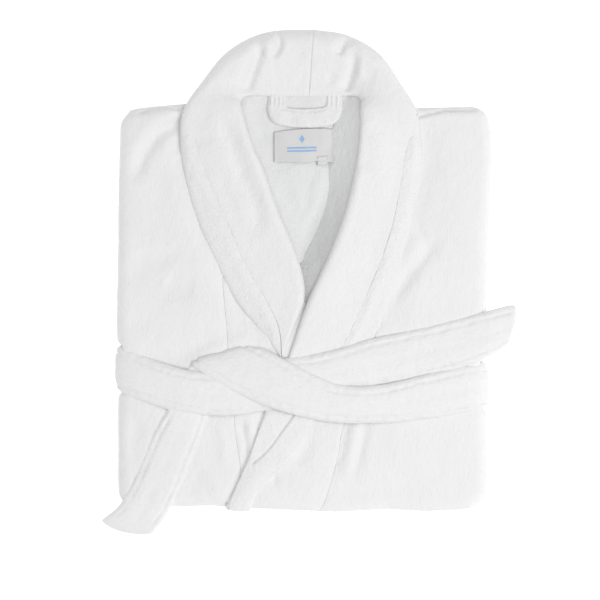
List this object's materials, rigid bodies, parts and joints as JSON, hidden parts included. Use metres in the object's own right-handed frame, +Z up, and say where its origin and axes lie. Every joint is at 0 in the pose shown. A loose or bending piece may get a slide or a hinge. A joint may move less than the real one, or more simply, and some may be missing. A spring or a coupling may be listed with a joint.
{
  "type": "folded bathrobe",
  "caption": "Plush shawl-collar bathrobe folded flat, front up, with its belt wrapped round the fold and half knotted; hanger loop at the neck.",
  "frame": {"origin": "on the underside of the fold, at the middle of the folded body", "axes": "+Y towards the collar, +X to the right of someone looking down at the front, +Z up, out of the front"},
  "size_m": [0.4312, 0.5332, 0.0817],
  "materials": {
    "robe_plush": "short white plush pile, matt",
    "collar_plush": "short white plush pile, matt, brushed down the lapels",
    "belt_plush": "short white plush pile with a stitched edge",
    "loop_fabric": "narrow tube of the same plush",
    "label_satin": "woven satin with a plain blue lozenge and two plain blue bars"
  },
  "bodies": {
    "robe": {"back_panel": "robe_plush", "front_left_side": "robe_plush", "front_left_centre": "robe_plush", "front_right_side": "robe_plush", "front_right_centre": "robe_plush", "front_band_right": "robe_plush", "collar_left": "collar_plush", "collar_right": "collar_plush", "collar_band_left": "collar_plush", "collar_band_right": "collar_plush", "neck_label": "label_satin", "size_tab": "label_satin", "sleeve_left": "robe_plush", "sleeve_right": "robe_plush", "cuff_left": "robe_plush", "cuff_right": "robe_plush", "skirt_front_fold": "robe_plush", "skirt_hem_fold": "robe_plush", "hem_band": "robe_plush", "pocket_left": "robe_plush", "pocket_right": "robe_plush", "pocket_hem_left": "robe_plush", "pocket_hem_right": "robe_plush", "belt_loop_left": "loop_fabric", "belt_loop_right": "loop_fabric", "belt_back_run": "belt_plush", "belt_left_strand": "belt_plush", "belt_right_strand": "belt_plush", "belt_turn": "belt_plush"},
    "hanger": {"hanger_loop": "loop_fabric"},
    "upper_tail": {"belt_upper_tail": "belt_plush"},
    "lower_tail": {"belt_lower_tail": "belt_plush"}
  },
  "joints": [
    {"name": "hanger_loop_lift", "type": "hinge", "parent": "robe", "child": "hanger", "pos_m": [0.004, 0.22, 0.0555], "axis": [-1, 0, 0], "range_deg": [0, 75]},
    {"name": "upper_tail_lift", "type": "hinge", "parent": "robe", "child": "upper_tail", "pos_m": [0.1393, -0.0435, 0.0748], "axis": [0.2, -0.9798, 0], "range_deg": [0, 70]},
    {"name": "lower_tail_lift", "type": "hinge", "parent": "robe", "child": "lower_tail", "pos_m": [-0.1331, -0.1412, 0.0689], "axis": [-0.8733, 0.4872, 0], "range_deg": [0, 70]}
  ]
}
